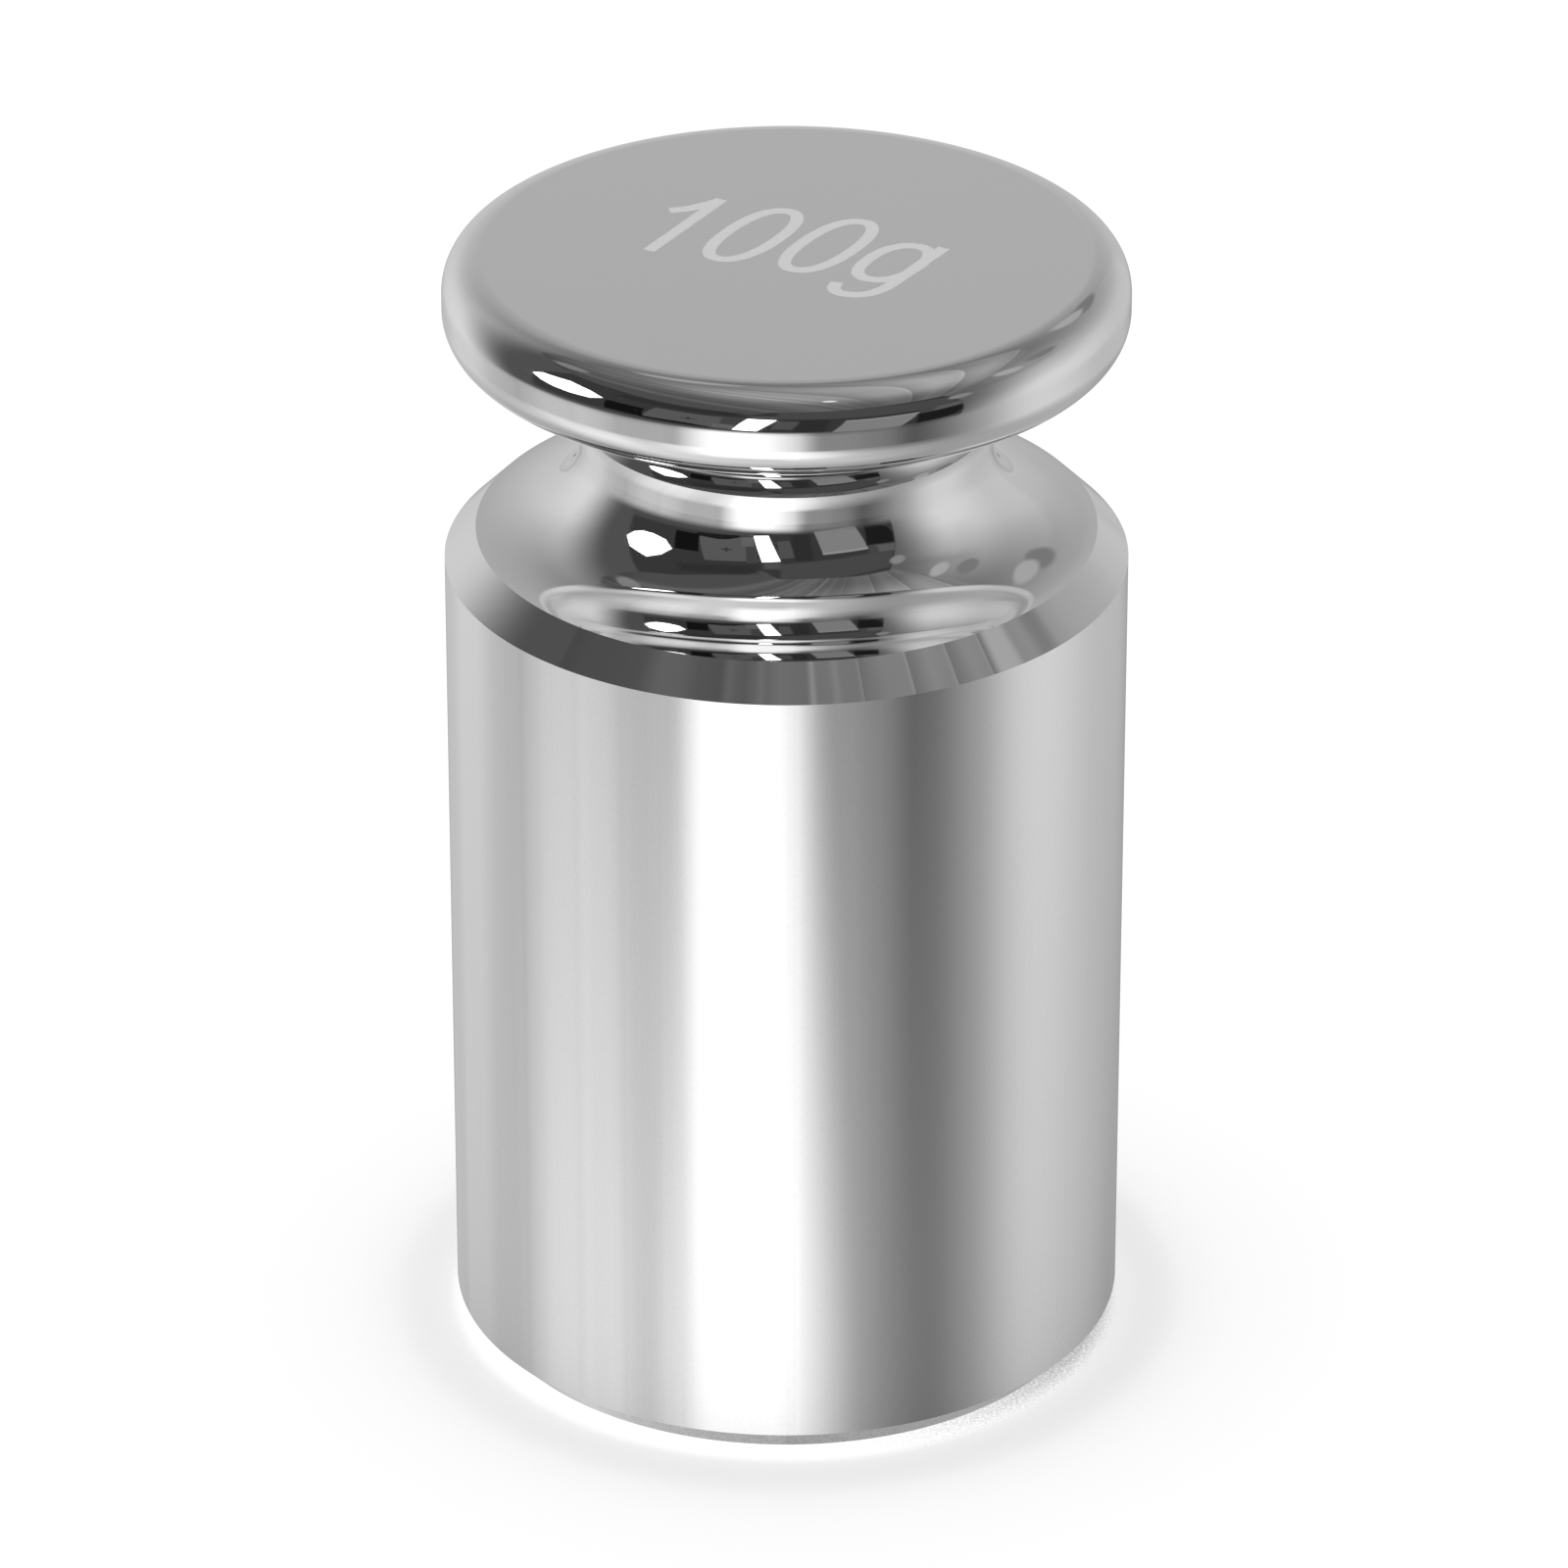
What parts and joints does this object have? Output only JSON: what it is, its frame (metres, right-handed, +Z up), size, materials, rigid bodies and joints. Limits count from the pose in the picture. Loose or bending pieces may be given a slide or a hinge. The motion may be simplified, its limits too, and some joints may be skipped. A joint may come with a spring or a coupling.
{
  "type": "calibration weight",
  "caption": "Cylindrical calibration weight in polished stainless steel, with a waisted neck for lifting under a flat rounded head.",
  "frame": {"origin": "centre of the flat foot that the weight stands on", "axes": "+Z up along the turning axis, from the foot to the head"},
  "size_m": [0.022, 0.022, 0.038],
  "materials": {
    "polished_steel": "mirror-polished stainless steel, with a fine turned grain on the cylinder"
  },
  "bodies": {
    "root": {"weight_body": "polished_steel"}
  },
  "joints": []
}
